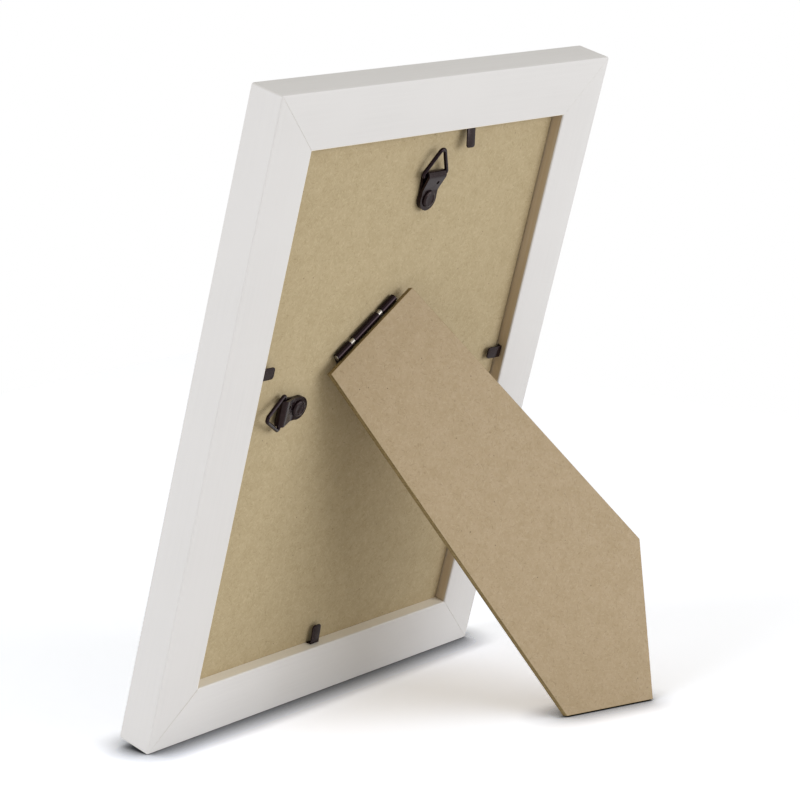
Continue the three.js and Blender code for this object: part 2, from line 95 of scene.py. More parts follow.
@dataclass(frozen=True)
class Place:
    """Where a drawing in millimetres lies on the object.

    origin is in the scene's metres. The columns of axes are the drawing's x, y and z in the scene.
    """

    origin: np.ndarray
    axes: np.ndarray

    def moved(self, x: float = 0.0, y: float = 0.0, z: float = 0.0) -> "Place":
        """Shifts the drawing along its own axes."""
        return Place(self.origin + self.axes @ np.array((x, y, z)) * MM, self.axes)

    def turned(self, axis: Axis, degrees: float) -> "Place":
        """Turns the drawing about one of its own axes."""
        turn = np.array(Matrix.Rotation(math.radians(degrees), 3, axis.value))
        return Place(self.origin, self.axes @ turn)

    def metres(self, points: np.ndarray) -> np.ndarray:
        """Carries points of the drawing into the scene."""
        return self.origin + points @ self.axes.T * MM

    def drawn(self, points: np.ndarray) -> np.ndarray:
        """Carries points of the scene back into the drawing."""
        return (points - self.origin) @ self.axes / MM

    def euler(self) -> Triple:
        """Gives the drawing's turn as the angles that a Mapping node takes."""
        return tuple(Matrix(self.axes.tolist()).to_euler("XYZ"))


def joint(name: str) -> dict:
    """Finds a joint of the record by its name."""
    return next(row for row in frame["joints"] if row["name"] == name)


def joint_point(name: str) -> np.ndarray:
    """Gives a point on a joint's axis, in metres."""
    return np.array(joint(name)["pos_m"])


def node_points(node: str) -> np.ndarray:
    """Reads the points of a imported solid.

    Args:
        node: The solid's name.

    Returns:
        Its points in the scene, in metres.
    """
    points = np.empty(len(frame["nodes"][node].data.vertices) * 3, np.float32)
    frame["nodes"][node].data.vertices.foreach_get("co", points)
    return points.reshape(-1, 3).astype(float)


def span(place: Place, node: str) -> tuple[np.ndarray, np.ndarray]:
    """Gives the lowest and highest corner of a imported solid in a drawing."""
    drawn = place.drawn(node_points(node))
    return drawn.min(0), drawn.max(0)


def tilt(place: Place, node: str, reach: float) -> float:
    """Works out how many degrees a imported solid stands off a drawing's plane.

    Args:
        place: The drawing. Its origin lies on the solid's joint.
        node: The solid, which runs along y.
        reach: Length of the far end whose middle gives the angle.

    Returns:
        The angle.
    """
    points = place.drawn(node_points(node))
    far = points[points[:, 1] > points[:, 1].max() - reach].mean(0)
    return math.degrees(math.atan2(far[2], far[1]))


def back_of_frame() -> Place:
    """Finds the drawing of the back from the joints and the rails.

    A ring swings about x and a hanger turns about z. The origin is the middle of the lower edge,
    in the plane of the rails' backs.

    Returns:
        The drawing.
    """
    right = np.array(joint("top_ring_swing")["axis"])
    out = np.array(joint("top_hanger_swivel")["axis"])
    loose = Place(np.zeros(3), np.column_stack((right, np.cross(out, right), out)))
    low, high = span(loose, "bottom_rail")
    return loose.moved((low[0] + high[0]) / 2, low[1], high[2])


def arc(centre: Pair, radius: float, start: float, end: float, steps: int) -> np.ndarray:
    """Points on an arc: centre + radius times (cosine, sine) of angles spread from start to end."""
    angle = np.radians(np.linspace(start, end, steps + 1))
    return np.array(centre) + radius * np.column_stack((np.cos(angle), np.sin(angle)))


def side_normals(path: np.ndarray) -> np.ndarray:
    """Gives a closed path's normals to the right, square to the line from the point before to the next.

    Args:
        path: Points of the path.

    Returns:
        A normal of length 1 for each point.
    """
    along = np.roll(path, -1, axis=0) - np.roll(path, 1, axis=0)
    along /= np.linalg.norm(along, axis=1, keepdims=True)
    return np.column_stack((along[:, 1], -along[:, 0]))


def added(name: str, data: bpy.types.ID) -> Piece:
    """Puts something into the scene as an object.

    Args:
        name: The object's name.
        data: A mesh, a lamp or a camera.

    Returns:
        The object.
    """
    thing = bpy.data.objects.new(name, data)
    bpy.context.scene.collection.objects.link(thing)
    return thing


def new_piece(name: str, points: np.ndarray, faces: list, values: dict | None = None,
              flatten: bool = False) -> Piece:
    """Makes a piece whose object sits at the origin and whose faces point outwards.

    Args:
        name: The piece's name.
        points: Its points in the scene, in metres.
        faces: For each face, the numbers of its points.
        values: Named numbers for each point, for the piece's material.
        flatten: Joins triangles that lie in one plane into one face.

    Returns:
        The piece.
    """
    mesh = bpy.data.meshes.new(name)
    mesh.from_pydata(points.tolist(), [], faces)
    for key, numbers in (values or {}).items():
        attribute = mesh.attributes.new(key, "FLOAT", "POINT")
        attribute.data.foreach_set("value", numbers.astype(np.float32))
    shell = bmesh.new()
    shell.from_mesh(mesh)
    bmesh.ops.remove_doubles(shell, verts=shell.verts, dist=WELD)
    if flatten:
        bmesh.ops.dissolve_limit(shell, angle_limit=math.radians(FLAT),
                                 verts=shell.verts, edges=shell.edges)
    bmesh.ops.recalc_face_normals(shell, faces=shell.faces)
    shell.to_mesh(mesh)
    shell.free()
    mesh.shade_smooth()
    mesh.set_sharp_from_angle(angle=math.radians(CREASE))
    return added(name, mesh)


def skin(name: str, grid: np.ndarray, place: Place, looped: bool = False,
         values: dict | None = None) -> Piece:
    """Makes a closed piece from a grid of points.

    Each row of the grid is a closed section. Quads join each point to its neighbours in its own row
    and in the next one. A flat face closes each end, unless the rows run in a loop.

    Args:
        name: The piece's name.
        grid: Rows by columns of points in the drawing.
        place: Where the drawing lies.
        looped: Joins the last row to the first.
        values: Named numbers for each point, for the piece's material.

    Returns:
        The piece.
    """
    rows, columns = grid.shape[:2]
    row = np.arange(rows if looped else rows - 1)[:, None]
    column = np.arange(columns)[None, :]
    after = (row + 1) % rows * columns
    beside = (column + 1) % columns
    row = row * columns
    quads = np.stack((row + column, row + beside, after + beside, after + column), axis=-1)
    faces = quads.reshape(-1, 4).tolist()
    if not looped:
        faces.append(list(range(columns)))
        faces.append(list(range((rows - 1) * columns, rows * columns)))
    return new_piece(name, place.metres(grid.reshape(-1, 3)), faces, values)


def turned_piece(name: str, profile: np.ndarray, place: Place, steps: int) -> Piece:
    """Turns a profile about z: x and y are its radius times the cosine and sine of the turn.

    Args:
        name: The piece's name.
        profile: Its points (radius, height), from axis to axis.
        place: Where the drawing lies.
        steps: How many times the profile is repeated in a full turn.

    Returns:
        The piece.
    """
    angle = np.linspace(0, 2 * math.pi, steps, endpoint=False)
    radius, height = profile[:, :1], profile[:, 1:]
    grid = np.stack((radius * np.cos(angle), radius * np.sin(angle), height + 0 * angle), axis=-1)
    return skin(name, grid, place)


def strip_piece(name: str, path: np.ndarray, half_width: np.ndarray, half_thickness: np.ndarray,
                corner: float, place: Place) -> Piece:
    """Makes a strip of sheet metal that follows a path.

    Its section is a rectangle across x and across the path, with round corners: each point is the
    path's point plus x along the width plus a height along the path's normal.

    Args:
        name: The piece's name.
        path: Points (y, z) of the strip's middle.
        half_width: Half of the width at each point of the path.
        half_thickness: Half of the thickness there.
        corner: Radius of the section's corners.
        place: Where the drawing lies.

    Returns:
        The piece.
    """
    along = np.gradient(path, axis=0)
    along /= np.linalg.norm(along, axis=1, keepdims=True)
    normal = np.column_stack((-along[:, 1], along[:, 0]))
    sign = np.array(((1, 1), (-1, 1), (-1, -1), (1, -1)))
    turn = np.arange(4)[:, None] * 90 + np.linspace(0, 90, CORNER_STEPS + 1)
    turn = np.radians(turn)
    round_off = np.stack((np.cos(turn), np.sin(turn)), axis=-1).reshape(-1, 2)
    side = np.repeat(sign, CORNER_STEPS + 1, axis=0)
    x = side[:, 0] * (half_width[:, None] - corner) + corner * round_off[:, 0]
    small = np.minimum(corner, half_thickness)[:, None]
    height = side[:, 1] * (half_thickness[:, None] - small) + small * round_off[:, 1]
    y = path[:, :1] + height * normal[:, :1]
    z = path[:, 1:] + height * normal[:, 1:]
    grid = np.stack((x, y, z), axis=-1)
    return skin(name, grid, place)


def softened(name: str, node: str, radius: float, points: np.ndarray | None = None) -> Piece:
    """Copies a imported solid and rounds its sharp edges.

    Args:
        name: The piece's name.
        node: The solid that it copies.
        radius: Radius of the edges.
        points: The solid's points in metres where the copy has them moved.

    Returns:
        The piece.
    """
    mesh = frame["nodes"][node].data
    corners = np.empty(len(mesh.loops), np.int32)
    mesh.loops.foreach_get("vertex_index", corners)
    points = node_points(node) if points is None else points
    piece = new_piece(name, points, corners.reshape(-1, 3).tolist(), flatten=True)
    bevel = piece.modifiers.new("soft edges", "BEVEL")
    bevel.width = radius * MM
    bevel.segments = EDGE_STEPS
    bevel.limit_method = "ANGLE"
    bevel.angle_limit = math.radians(CREASE)
    return piece


def linear(code: str) -> tuple[float, float, float, float]:
    """Turns an sRGB hex colour into the linear values that shaders take."""
    parts = [int(code[i:i + 2], 16) / 255 for i in (1, 3, 5)]
    return (*(p / 12.92 if p <= 0.04045 else ((p + 0.055) / 1.055) ** 2.4 for p in parts), 1.0)


def add_node(tree: Tree, kind: str, inputs: dict | tuple = (), output: int | str = 0,
             **settings: object) -> Shader | None:
    """Adds one shader node.

    Args:
        tree: The tree that it goes into.
        kind: The node's type, without the ShaderNode that each begins with.
        inputs: Numbers, hex colours or linked sockets for its inputs, in their order, or by name or
            number.
        output: Name or number of the output that is handed over.
        settings: Values for the node's own properties.

    Returns:
        That output, or None for a node without any.
    """
    node = tree.nodes.new("ShaderNode" + kind)
    for key, value in settings.items():
        setattr(node, key, value)
    for key, value in inputs.items() if isinstance(inputs, dict) else enumerate(inputs):
        if isinstance(value, Shader):
            tree.links.new(value, node.inputs[key])
        else:
            node.inputs[key].default_value = linear(value) if isinstance(value, str) else value
    return node.outputs[output] if node.outputs else None


class Recipe:
    """The nodes of one material, read in the millimetres of a drawing."""

    def __init__(self, name: str, turn: Triple = NO_TURN) -> None:
        """Starts a material.

        Args:
            name: The material's name.
            turn: Angles of the drawing whose x, y and z its patterns follow.
        """
        self.material = bpy.data.materials.new(name)
        self.material.use_nodes = True
        self.tree = self.material.node_tree
        self.tree.nodes.clear()
        metres = add_node(self.tree, "TexCoord", output="Object")
        inputs = {"Vector": metres, "Rotation": turn, "Scale": (MM, MM, MM)}
        self.mm = add_node(self.tree, "Mapping", inputs, vector_type="TEXTURE")

    def pattern(self, texture: str, grain: float | Triple, turn: Triple = NO_TURN,
                output: str = "Fac", **inputs: float) -> Shader:
        """Lays a texture at its real size, by dividing the place by the grain's length on each axis.

        Args:
            texture: The texture's type.
            grain: Length of its spots on x, y and z, or their width all round.
            turn: Angles of the axes that the grain follows.
            output: The texture's output that is wanted.
            inputs: The texture's other inputs.

        Returns:
            The pattern, from 0 to 1.
        """
        lengths = (grain,) * 3 if isinstance(grain, float) else grain
        place = add_node(self.tree, "Mapping", {"Vector": self.mm, "Rotation": turn, "Scale": lengths},
                         vector_type="TEXTURE")
        return add_node(self.tree, texture, {"Vector": place, "Scale": 1.0, **inputs}, output)

    def layered(self, colour: Shader | str, *coats: tuple[Shader, str]) -> Shader:
        """Lays coats over a colour.

        Args:
            colour: The colour at the bottom.
            coats: For each coat from the lowest up, where it covers, from 0 to 1, and its colour.

        Returns:
            The colour that is left to see.
        """
        for share, coat in coats:
            colour = add_node(self.tree, "Mix", {0: share, 6: colour, 7: coat}, 2, data_type="RGBA")
        return colour

    def mixed(self, first: Shader, second: Shader, share: float) -> Shader:
        """Mixes two patterns: share times the first plus the rest times the second.

        Args:
            first: One pattern.
            second: The other one.
            share: The first one's part of the whole.

        Returns:
            The mixture.
        """
        rest = add_node(self.tree, "Math", (second, 1 - share), operation="MULTIPLY")
        part = add_node(self.tree, "Math", (first, share), operation="MULTIPLY")
        return add_node(self.tree, "Math", (part, rest), operation="ADD")

    def surface(self, height: Shader, relief: Pair, **inputs: object) -> Shader:
        """Makes a surface with a fine relief.

        Args:
            height: The relief's height, from 0 to 1.
            relief: Its depth, and how much of it shows.
            inputs: The surface's other inputs. Their names use _ for a space.

        Returns:
            The surface.
        """
        bump = {"Height": height, "Distance": relief[0] * MM, "Strength": relief[1]}
        named = {key.replace("_", " "): value for key, value in inputs.items()}
        named["Normal"] = add_node(self.tree, "Bump", bump)
        return add_node(self.tree, "BsdfPrincipled", named)

    def finished(self, surface: Shader) -> Material:
        """Links the surface to the output and hands over the material."""
        add_node(self.tree, "OutputMaterial", {"Surface": surface})
        return self.material


class Run(Named):
    """The way that the grain of a rail runs, as the length of its streaks on x, y and z."""

    ACROSS = (60.0, 1.2, 1.2)
    UP = (1.2, 60.0, 1.2)


@dataclass(frozen=True)
class SatinPaint:
    """White satin lacquer sprayed on sanded pine.

    It is nearly even, with a faint trace of the grain. A cream painted highlight runs along the edge of
    the rebate, where the arris catches the light. The wall below is bare brown wood, but for the lower
    rail's, which is painted and lightened a little with the same cream as painted light.
    """

    run: Run
    back: Place
    white: str = "#DAD8D6"
    shade: str = "#D7D5D3"
    wood: str = "#BDA98B"
    # cream of the painted highlight on the rebate's edge and of the painted light on the lower wall
    undercoat: str = "#F6EEDC"
    cloud: float = 30.0         # length of a faint change of tone
    peel: float = 0.7           # spacing of the sprayed texture, drawn coarser than the real 0.3
    relief: Pair = (0.02, 0.1)  # depth and strength of that texture
    rough: Pair = (0.46, 0.49)
    rubbed_through: float = 0.3     # level at which the painted cream light shows fully
    wood_tone: Pair = (0.8, 1.1)    # the wood's share at the ends of the grain's noise

    def material(self) -> Material:
        """Builds the material.

        Returns:
            The paint, for rails whose grain runs its way.
        """
        recipe = Recipe(f"satin_paint_{self.run.word}", self.back.euler())
        tree = recipe.tree
        grain = recipe.pattern("TexNoise", self.run.value, Detail=3.0, Roughness=0.6)
        clouds = recipe.pattern("TexNoise", self.cloud, Detail=1.0)
        clouded = add_node(tree, "MapRange", (clouds, *CORE))
        grained = add_node(tree, "MapRange", (grain, *MOST))
        tone = add_node(tree, "Math", (clouded, grained), operation="MULTIPLY")
        # Painted light: a cream highlight on the rebate's edge and a lighter lower wall.
        painted_level = add_node(tree, "Attribute", output="Fac", attribute_name="rubbed")
        rubbed = add_node(tree, "MapRange", (painted_level, 0.0, self.rubbed_through))
        uneven = add_node(tree, "MapRange", (grain, *MOST, *self.wood_tone))
        unpainted = add_node(tree, "Attribute", output="Fac", attribute_name="bare")
        bare = add_node(tree, "Math", (unpainted, uneven), operation="MULTIPLY")
        coats = ((tone, self.shade), (rubbed, self.undercoat), (bare, self.wood))
        return recipe.finished(recipe.surface(
            Base_Color=recipe.layered(self.white, *coats),
            Roughness=add_node(tree, "MapRange", (grain, *MOST, *self.rough)),
            height=recipe.pattern("TexNoise", self.peel, Detail=1.0), relief=self.relief))


@dataclass(frozen=True)
class Hardboard:
    """Raw hardboard: wood fibre pressed flat and hard, with a dry, faintly shiny face.

    The face is a felt of tan fibres with short dark and pale ones in it, a few dark specks of bark
    and slow clouds of tone.
    """

    name: str
    sheet: Place
    tan: str = "#B4A381"
    brown: str = "#AA9976"
    pale: str = "#C3B491"
    dark: str = "#96845F"
    bark: str = "#65543A"
    cloud: float = 6.0
    felt: float = 1.1           # spacing of the felt, drawn coarser than the real 0.8
    felt_tone: float = 0.55     # the felt's part in the change of tone; the clouds have the rest
    felt_height: float = 0.6    # its part in the relief; the pale fibres have the rest
    fibre: Triple = (2.2, 0.5, 0.5)
    angles: tuple[float, ...] = (20.0, 80.0, 140.0)
    pale_level: Pair = (0.62, 0.72)     # levels of the noise at which a fibre begins and is full
    pale_share: float = 0.45
    dark_level: Pair = (0.66, 0.76)
    dark_share: float = 0.55
    dark_turn: float = 35.0     # degrees of the dark fibres against the pale ones
    speck: float = 5.5          # spacing of the specks of bark
    speck_edge: Pair = (0.025, 0.06)    # parts of it at which a speck begins to fade and is gone
    speck_share: float = 0.8
    relief: Pair = (0.04, 0.6)
    rough: Pair = (0.62, 0.8)

    def fibres(self, recipe: Recipe, level: Pair, offset: float = 0.0) -> Shader:
        """Scatters short fibres that lie in the sheet at a few angles.

        Args:
            recipe: The material's nodes.
            level: Levels of the noise at which a fibre begins and is full.
            offset: Degrees that turn this set of fibres against the others.

        Returns:
            Where the fibres are, from 0 to 1.
        """
        found = None
        for angle in self.angles:
            turn = (0.0, 0.0, math.radians(angle + offset))
            noise = recipe.pattern("TexNoise", self.fibre, turn, Detail=1.0)
            shown = add_node(recipe.tree, "MapRange", (noise, *level))
            if found is not None:
                shown = add_node(recipe.tree, "Math", (found, shown), operation="MAXIMUM")
            found = shown
        return found

    def material(self) -> Material:
        """Builds the material.

        Returns:
            The hardboard's face.
        """
        recipe = Recipe(self.name, self.sheet.euler())
        tree = recipe.tree
        felt = recipe.pattern("TexNoise", self.felt, Detail=3.0)
        felted = add_node(tree, "MapRange", (felt, *MOST, 0.0, self.felt_tone))
        clouds = recipe.pattern("TexNoise", self.cloud)
        clouded = add_node(tree, "MapRange", (clouds, *CORE, 0.0, 1 - self.felt_tone))
        tone = add_node(tree, "Math", (felted, clouded), operation="ADD")
        pale = self.fibres(recipe, self.pale_level)
        dark = self.fibres(recipe, self.dark_level, self.dark_turn)
        paler = add_node(tree, "Math", (pale, self.pale_share), operation="MULTIPLY")
        darker = add_node(tree, "Math", (dark, self.dark_share), operation="MULTIPLY")
        cells = recipe.pattern("TexVoronoi", self.speck, output="Distance")
        specks = add_node(tree, "MapRange", (cells, *self.speck_edge, self.speck_share, 0.0))
        coats = ((tone, self.brown), (paler, self.pale), (darker, self.dark), (specks, self.bark))
        return recipe.finished(recipe.surface(
            Base_Color=recipe.layered(self.tan, *coats),
            Roughness=add_node(tree, "MapRange", (felt, *MOST, *self.rough)), Specular_IOR_Level=0.35,
            height=recipe.mixed(felt, pale, self.felt_height), relief=self.relief))


@dataclass(frozen=True)
class SawnEdge:
    """The sawn edge of hardboard: darker than its face, with layers parallel to the face."""

    name: str
    sheet: Place
    light: str = "#95835B"
    dark: str = "#6B5A3A"
    layer: Triple = (9.0, 9.0, 0.35)
    tooth: Triple = (0.5, 0.5, 3.0)     # spacing of the saw's marks, which run through the sheet
    layer_share: float = 0.6    # the marks have the rest
    relief: Pair = (0.06, 0.7)
    rough: Pair = (0.85, 0.95)

    def material(self) -> Material:
        """Builds the material.

        Returns:
            The sawn edge.
        """
        recipe = Recipe(self.name, self.sheet.euler())
        layers = recipe.pattern("TexNoise", self.layer, Detail=3.0, Roughness=0.6)
        teeth = recipe.pattern("TexNoise", self.tooth)
        both = recipe.mixed(layers, teeth, self.layer_share)
        depth = add_node(recipe.tree, "MapRange", (both, *CORE))
        return recipe.finished(recipe.surface(
            Base_Color=recipe.layered(self.light, (depth, self.dark)),
            Roughness=add_node(recipe.tree, "MapRange", (teeth, *MOST, *self.rough)),
            Specular_IOR_Level=0.2, height=both, relief=self.relief))


@dataclass(frozen=True)
class BlackedSteel:
    """Pressed sheet and wire in black lacquer: brown-black and glossy, with a warm shine and fine dust."""

    name: str = "blacked_steel"
    black: str = "#190F10"
    worn: str = "#2F2426"
    cast: str = "#FFE0DC"       # of its shine
    patch: float = 2.2
    dust: float = 0.35
    wear: Pair = (0.26, 0.4)    # products of the two noises at which wear begins and is full
    wear_share: float = 0.6
    relief: Pair = (0.01, 0.4)
    rough: Pair = (0.13, 0.22)

    def material(self) -> Material:
        """Builds the material.

        Returns:
            The lacquered steel.
        """
        recipe = Recipe(self.name)
        tree = recipe.tree
        patches = recipe.pattern("TexNoise", self.patch, Detail=3.0)
        dust = recipe.pattern("TexNoise", self.dust)
        both = add_node(tree, "Math", (patches, dust), operation="MULTIPLY")
        wear = add_node(tree, "MapRange", (both, *self.wear, 0.0, self.wear_share))
        return recipe.finished(recipe.surface(
            Base_Color=recipe.layered(self.black, (wear, self.worn)),
            Roughness=add_node(tree, "MapRange", (patches, *MOST, *self.rough)),
            Specular_IOR_Level=0.19, Specular_Tint=self.cast, height=dust, relief=self.relief))


@dataclass(frozen=True)
class DrawnSteel:
    """Bare drawn steel wire: bright, with fine lines along its length and a little tarnish."""

    name: str
    place: Place
    bright: str = "#A9A39A"
    tarnish: str = "#7F786D"
    line: Triple = (4.0, 0.12, 0.12)
    tarnished: Pair = (0.4, 0.7)
    relief: Pair = (0.01, 0.5)
    rough: Pair = (0.36, 0.48)

    def material(self) -> Material:
        """Builds the material.

        Returns:
            The bare steel.
        """
        recipe = Recipe(self.name, self.place.euler())
        lines = recipe.pattern("TexNoise", self.line)
        dull = add_node(recipe.tree, "MapRange", (lines, *self.tarnished))
        return recipe.finished(recipe.surface(
            Base_Color=recipe.layered(self.bright, (dull, self.tarnish)), Metallic=1.0,
            Roughness=add_node(recipe.tree, "MapRange", (lines, *MOST, *self.rough)),
            height=lines, relief=self.relief))


@dataclass(frozen=True)
class PlainPaper:
    """Uncoated white paper: matt, with a fine cloudy felt of fibres."""

    white: str = "#F2F0EA"
    shade: str = "#E9E6DE"
    felt: float = 0.8
    relief: Pair = (0.01, 0.4)

    def material(self) -> Material:
        """Builds the material.

        Returns:
            The paper.
        """
        recipe = Recipe("plain_paper")
        felt = recipe.pattern("TexNoise", self.felt, Detail=4.0, Roughness=0.6)
        tone = add_node(recipe.tree, "MapRange", (felt, *CORE))
        return recipe.finished(recipe.surface(
            Base_Color=recipe.layered(self.white, (tone, self.shade)), Roughness=0.92,
            Specular_IOR_Level=0.2, height=felt, relief=self.relief))


@dataclass(frozen=True)
class FloatGlass:
    """Clear float glass with a faint green cast, which lets the lamps reach the paper behind it."""

    cast: str = "#F9FCFA"
    wave: float = 60.0          # length of the faint unevenness of its surface
    relief: Pair = (0.05, 0.3)

    def material(self) -> Material:
        """Builds the material.

        Returns:
            The glass.
        """
        recipe = Recipe("float_glass")
        wave = recipe.pattern("TexNoise", self.wave, Detail=1.0)
        glass = recipe.surface(Base_Color=self.cast, Roughness=0.02, IOR=1.52, Transmission_Weight=1.0,
                               height=wave, relief=self.relief)
        clear = add_node(recipe.tree, "BsdfTransparent", {"Color": self.cast})
        shadow = add_node(recipe.tree, "LightPath", output="Is Shadow Ray")
        return recipe.finished(add_node(recipe.tree, "MixShader", (shadow, glass, clear)))


def redress(node: str, material: Material) -> None:
    """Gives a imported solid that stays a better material.

    Args:
        node: The solid's name.
        material: Its material.
    """
    for slot in frame["nodes"][node].material_slots:
        slot.material = material
    log.info("%s is dressed", node)


def fit(piece: Piece, node: str, body: str, finish: Material) -> None:
    """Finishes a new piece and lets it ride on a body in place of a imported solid.

    Args:
        piece: The piece, at the origin.
        node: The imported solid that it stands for.
        body: The body that carries it.
        finish: Its first material.
    """
    piece.data.materials.append(finish)
    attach(piece, body)
    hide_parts(node)
    log.info("%s rides on %s", piece.name, body)


class Side(Named):
    """The rails, by their quarter turns from the lower one, anticlockwise round the back."""

    BOTTOM = 0
    RIGHT = 1
    TOP = 2
    LEFT = 3

    @property
    def level(self) -> bool:
        """Tells whether the rail lies level when the frame stands upright."""
        return self in (Side.BOTTOM, Side.TOP)


@dataclass(frozen=True)
class Wear:
    """How the paint of one rail and the mitre at its far end have fared, and the light painted on its
    rebate.
    """

    gap: float                  # the mitre's, at its ends
    opening: float              # what the mitre opens further in its middle
    bare: float                 # how little paint has reached the rebate
    rubbed: float               # painted highlight along the rebate's edge, where the arris catches the light
    primed: float               # painted light on the rebate's wall, lighter as it faces up, on the same scale


# The lower left mitre has opened a little, and the lower rail's rebate has caught the most paint;
# its wall also carries some painted light, and the left rail's edge has the most painted highlight.
WEAR = {
    Side.BOTTOM: Wear(gap=0.03, opening=0.01, bare=0.05, rubbed=0.1, primed=0.2),
    Side.RIGHT: Wear(gap=0.02, opening=0.01, bare=1.0, rubbed=0.0, primed=0.0),
    Side.TOP: Wear(gap=0.02, opening=0.05, bare=1.0, rubbed=0.6, primed=0.0),
    Side.LEFT: Wear(gap=0.02, opening=0.45, bare=1.0, rubbed=1.0, primed=0.0),
}


@dataclass(frozen=True)
class Rails:
    """Four mitred rails of painted pine.

    Each is drawn with x along it, y inwards from its outer face and z out of the back.
    """

    back: Place
    width: float
    height: float
    depth: float
    rail_width: float = 21.9
    lip_width: float = 5.0
    lip_thickness: float = 3.5
    arris: float = 0.58         # radius of the long edges
    corner: float = 0.9         # radius of the outer corners in plan
    corner_fade: float = 2.5    # depth over which a round corner fades out
    break_edge: float = 0.05    # how far the edges of a mitre are broken
    break_depth: float = 0.08   # distance from the mitre over which they are
    fillet_steps: int = 6
    paint_line: float = 0.12    # depth below the arris over which the paint ends
    mitre_bareness: float = 0.5     # the sawn faces of the mitres have soaked up some paint
    distances: tuple[float, ...] = (0.0, 0.03, 0.08, 0.2, 0.35, 0.5, 0.7, 1.5, 6.0)

    def place(self, side: Side) -> Place:
        """Finds a rail's drawing, whose origin is the middle of its outer face.

        Args:
            side: The rail.

        Returns:
            The drawing.
        """
        reach = (self.height if side.level else self.width) / 2
        middle = self.back.moved(y=self.height / 2)
        return middle.turned(Axis.Z, 90 * side.value).moved(y=-reach)

    def section(self) -> tuple[np.ndarray, np.ndarray, np.ndarray]:
        """Draws the section of a rail.

        It runs from the back's outer edge over the back, down the wall of the rebate, round the lip
        and along the front, with an arc of the arris at each outer corner.

        Returns:
            The points (y, z), for each point whether it is in the rebate, 0 or 1, and how far round
            the edge of the rebate it is, from 0 to 1.
        """
        r = self.arris
        inner = self.rail_width
        face = inner + self.lip_width
        floor = self.lip_thickness - self.depth
        front = r - self.depth
        corners = (((r, -r), 180), ((inner - r, -r), 90), ((face - r, front), 0), ((r, front), -90))
        rounds = [arc(centre, r, start, start - 90, self.fillet_steps) for centre, start in corners]
        inside = np.array(((inner, -r - self.paint_line), (inner, floor), (face, floor)))
        points = np.concatenate((*rounds[:2], inside, *rounds[2:]))
        each = self.fillet_steps + 1
        rebate = np.repeat((0.0, 1.0, 0.0), (2 * each, len(inside), 2 * each))
        edge = np.concatenate((np.zeros(each), np.linspace(0, 1, each), np.zeros(len(points) - 2 * each)))
        return points, rebate, edge

    def end_rows(self, half: float, worn: Wear) -> np.ndarray:
        """Draws the rows of points near a mitre, from the mitre inwards.

        At a distance d from the mitre, x = half length - y - half the gap - d. The outer corner is
        round in plan: a point there moves in by radius - sqrt(radius^2 - (radius - distance)^2).
        The edges of the mitre are broken by moving the section in along its normals.

        Args:
            half: Half of the rail's length.
            worn: The wear of the rail that the mitre ends.

        Returns:
            Rows by columns of points.
        """
        section, _, _ = self.section()
        inward = side_normals(section)
        y, z = section.T
        d = np.array(self.distances)[:, None]
        squeeze = self.corner * (1 - math.sqrt(0.5))
        fade = np.clip(1 - y / self.corner_fade, 0, 1)
        left = np.clip(self.corner - squeeze - d, 0, None)
        dip = self.corner - np.sqrt(self.corner ** 2 - left ** 2)
        across = np.clip(y / (self.rail_width + self.lip_width), 0, 1)
        gap = worn.gap + worn.opening * np.sin(math.pi * across) ** 2
        broken = self.break_edge * np.clip(1 - d / self.break_depth, 0, 1) ** 2
        x = half - y - squeeze * fade - gap / math.sqrt(2) - d
        rows_y = y + dip * fade + broken * inward[:, 0]
        rows_z = z + broken * inward[:, 1]
        return np.stack((x, rows_y, rows_z), axis=-1)

    def build(self) -> None:
        """Builds, dresses and places the four rails."""
        paints = {run: SatinPaint(run, self.back).material() for run in Run}
        _, rebate, edge = self.section()
        for side in Side:
            worn = WEAR[side]
            before = Side((side.value - 1) % len(Side))
            half = (self.width if side.level else self.height) / 2
            far = self.end_rows(half, worn)
            near = self.end_rows(half, WEAR[before]) * np.array((-1, 1, 1))
            grid = np.concatenate((far, near[::-1]))
            bare = np.tile(rebate * worn.bare, (len(grid), 1))
            bare[[0, -1]] = self.mitre_bareness
            # Painted light: a highlight along the rebate's edge, and a lighter wall on the lower rail.
            rubbed = np.tile(edge * worn.rubbed + rebate * worn.primed, len(grid))
            values = {"bare": bare.ravel(), "rubbed": rubbed}
            rail = skin(f"painted_{side.word}_rail", grid, self.place(side), values=values)
            paint = paints[Run.ACROSS if side.level else Run.UP]
            fit(rail, f"{side.word}_rail", "frame", paint)


